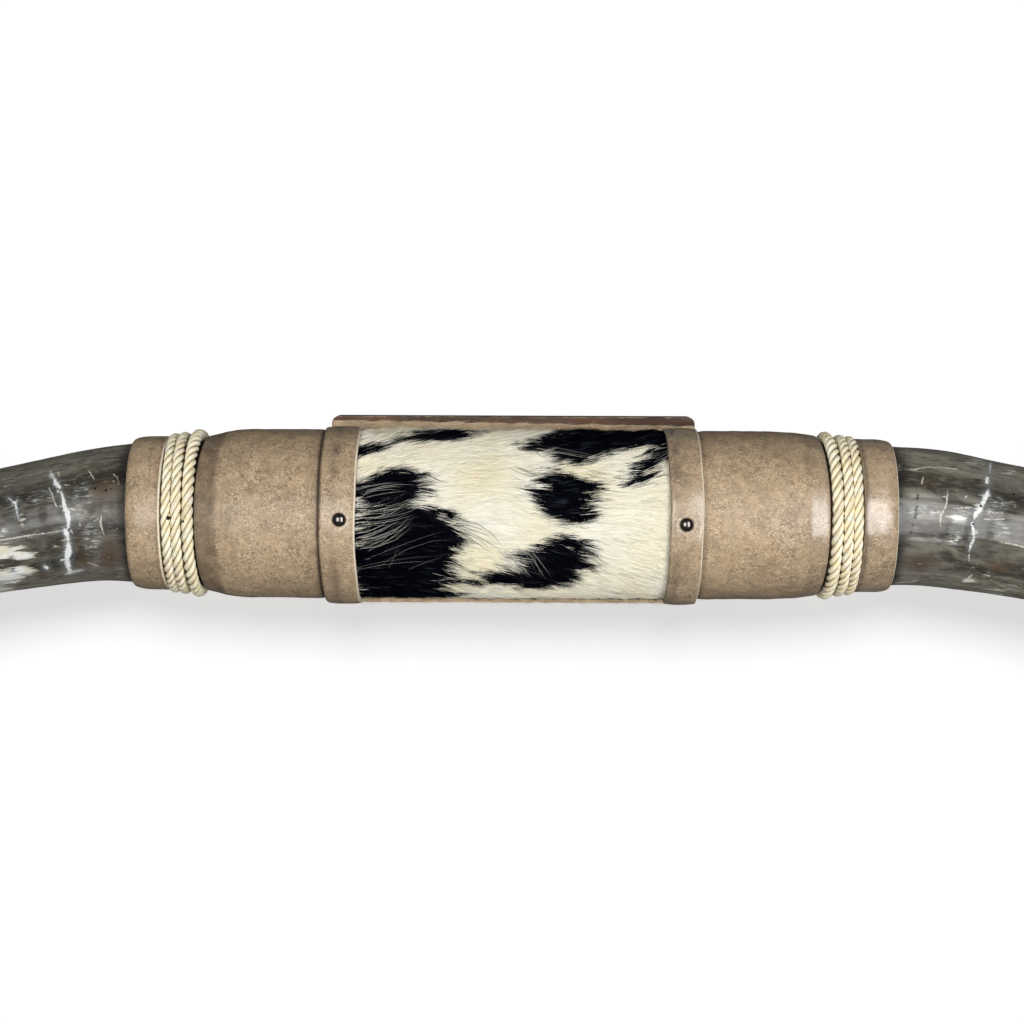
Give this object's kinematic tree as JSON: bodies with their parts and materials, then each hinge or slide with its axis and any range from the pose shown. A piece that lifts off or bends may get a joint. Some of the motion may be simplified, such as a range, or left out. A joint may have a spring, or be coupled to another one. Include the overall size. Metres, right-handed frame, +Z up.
{
  "type": "mounted longhorn horns",
  "caption": "Pair of curved steer horns joined by a leather-wrapped core with rope bands and a hair-on hide panel, on a back board that hangs on a wall.",
  "frame": {"origin": "centre of the back board's rear face, in the plane of the wall", "axes": "+X to the viewer's right along the pair of horns, +Z up, +Y into the wall, so the front faces -Y"},
  "size_m": [1.8793, 0.2324, 0.2837],
  "materials": {
    "horn": "polished horn, dark grey-brown with pale streaks",
    "leather": "distressed taupe leather, softly mottled",
    "suede": "rough tan suede",
    "hair_on_hide": "hair-on hide, ivory with blue-black patches",
    "rope": "pale natural fibre, three strands, laid",
    "board_wood": "worn dark stain",
    "core_wood": "turned, bare",
    "stud": "polished black nickel",
    "steel": "zinc plated"
  },
  "bodies": {
    "root": {"horn_left": "horn", "horn_right": "horn", "wood_core": "core_wood", "sleeve_left": "leather", "sleeve_right": "leather", "cuff_left": "leather", "cuff_right": "leather", "rope_left": "rope", "rope_right": "rope", "cowhide_panel": "hair_on_hide", "strap_left": "leather", "strap_right": "leather", "stud_left": "stud", "stud_right": "stud", "back_board": "board_wood", "board_facing": "suede", "board_screw_upper_left": "steel", "board_screw_upper_right": "steel", "board_screw_lower_left": "steel", "board_screw_lower_right": "steel", "hanger_plate": "steel", "hanger_screw_upper": "steel", "hanger_screw_lower": "steel"}
  },
  "joints": []
}
